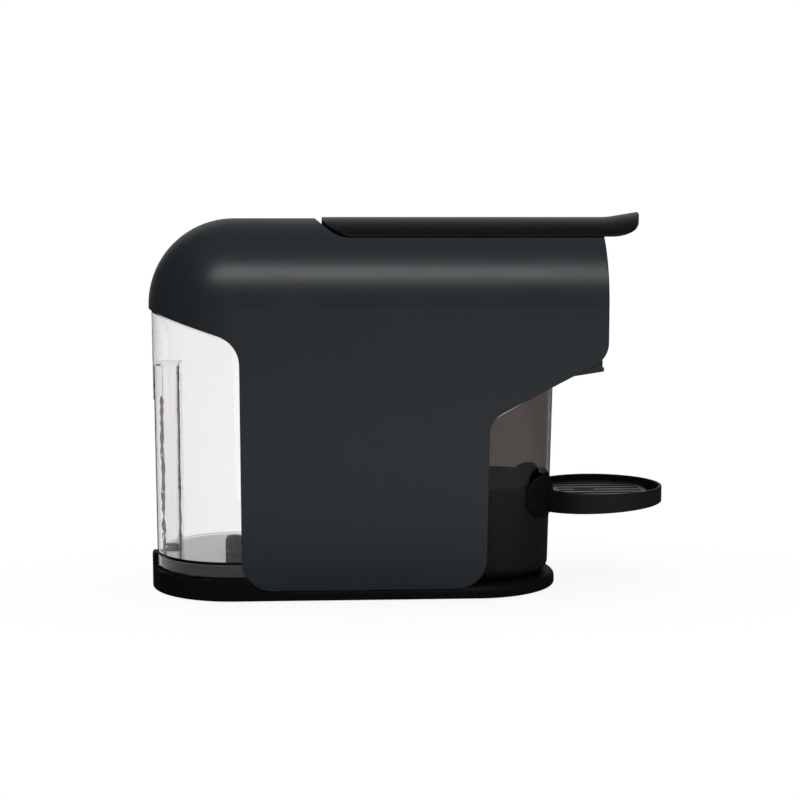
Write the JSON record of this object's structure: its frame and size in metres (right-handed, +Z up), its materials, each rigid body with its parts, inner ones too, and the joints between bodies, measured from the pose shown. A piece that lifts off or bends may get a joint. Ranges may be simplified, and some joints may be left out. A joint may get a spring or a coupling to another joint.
{
  "type": "pod coffee machine",
  "caption": "Slim upright pod coffee machine with an arched shell, top lever, clear rear tank, smoked capsule drawer and round cup tray.",
  "frame": {"origin": "middle of the footprint, on the worktop", "axes": "+X to the front, where the cup stands; +Y across the machine to its far side; +Z up"},
  "size_m": [0.3511, 0.116, 0.2546],
  "materials": {
    "shell": "satin dark blue-grey",
    "black_plastic": "fine matte",
    "grille_plastic": "satin",
    "button_plastic": "satin",
    "clear_plastic": "clear polished",
    "smoked_plastic": "smoked clear polished",
    "rubber": "matte",
    "hose": "milky silicone",
    "nylon": "matte",
    "steel": "satin",
    "cast_aluminium": "as cast",
    "circuit_board": "solder mask"
  },
  "bodies": {
    "machine": {"main_shell": "shell", "outlet_cover": "shell", "base_plate": "black_plastic", "top_deck": "black_plastic", "front_fascia": "black_plastic", "coffee_spout": "black_plastic", "bay_liner": "black_plastic", "rear_bulkhead": "black_plastic", "rubber_feet": "rubber", "cord_gland": "rubber", "pump_mounts": "rubber", "spigot_seal": "rubber", "extraction_seal": "rubber", "suction_hose": "hose", "feed_hose": "hose", "pressure_hose": "hose", "brew_hose": "hose", "coffee_duct": "hose", "brew_frame": "nylon", "flow_meter": "nylon", "inlet_spigot": "nylon", "pump_coil": "nylon", "board_components": "nylon", "thermostat": "nylon", "button_switches": "nylon", "lever_pin": "steel", "pump_body": "steel", "pump_bracket": "steel", "base_screws": "steel", "extraction_plate": "steel", "heating_element": "steel", "thermoblock": "cast_aluminium", "control_board": "circuit_board", "button_board": "circuit_board"},
    "lever": {"lever_cap": "black_plastic", "lever_cams": "steel"},
    "piston": {"brew_piston": "nylon", "piston_pin": "steel", "piston_seal": "rubber", "piercing_pins": "steel"},
    "drawer": {"drip_basin": "black_plastic", "capsule_bin": "smoked_plastic", "strainer_plate": "black_plastic"},
    "tray": {"cup_tray": "black_plastic"},
    "grille": {"tray_grille": "grille_plastic"},
    "tank": {"water_tank": "clear_plastic", "tank_valve_body": "nylon", "tank_filter": "black_plastic"},
    "poppet": {"valve_poppet": "nylon"},
    "button_a": {"button_near": "button_plastic"},
    "button_b": {"button_middle": "button_plastic"},
    "button_c": {"button_far": "button_plastic"}
  },
  "joints": [
    {"name": "lever_hinge", "type": "hinge", "parent": "machine", "child": "lever", "pos_m": [-0.04, 0, 0.238], "axis": [0, -1, 0], "range_deg": [0, 80]},
    {"name": "piston_slide", "type": "slide", "parent": "machine", "child": "piston", "axis": [-1, 0, 0], "range_m": [0, 0.03], "deforming": ["brew_hose"]},
    {"name": "drawer_slide", "type": "slide", "parent": "machine", "child": "drawer", "axis": [1, 0, 0], "range_m": [0, 0.13]},
    {"name": "tray_lift", "type": "slide", "parent": "drawer", "child": "tray", "axis": [0, 0, 1], "range_m": [0, 0.022]},
    {"name": "grille_lift", "type": "slide", "parent": "tray", "child": "grille", "axis": [0, 0, 1], "range_m": [0, 0.02]},
    {"name": "tank_slide", "type": "slide", "parent": "machine", "child": "tank", "axis": [-1, 0, 0], "range_m": [0, 0.11]},
    {"name": "poppet_slide", "type": "slide", "parent": "tank", "child": "poppet", "axis": [-1, 0, 0], "range_m": [0, 0.002], "stiffness_N_per_m": 300, "springref_m": -0.001},
    {"name": "button_a_press", "type": "slide", "parent": "machine", "child": "button_a", "axis": [-1, 0, 0], "range_m": [0, 0.001], "stiffness_N_per_m": 900, "springref_m": -0.0005},
    {"name": "button_b_press", "type": "slide", "parent": "machine", "child": "button_b", "axis": [-1, 0, 0], "range_m": [0, 0.001], "stiffness_N_per_m": 900, "springref_m": -0.0005},
    {"name": "button_c_press", "type": "slide", "parent": "machine", "child": "button_c", "axis": [-1, 0, 0], "range_m": [0, 0.001], "stiffness_N_per_m": 900, "springref_m": -0.0005}
  ],
  "couplings": [
    {"joint": "piston_slide", "follows": "lever_hinge", "m_per_rad": 0.021486}
  ]
}
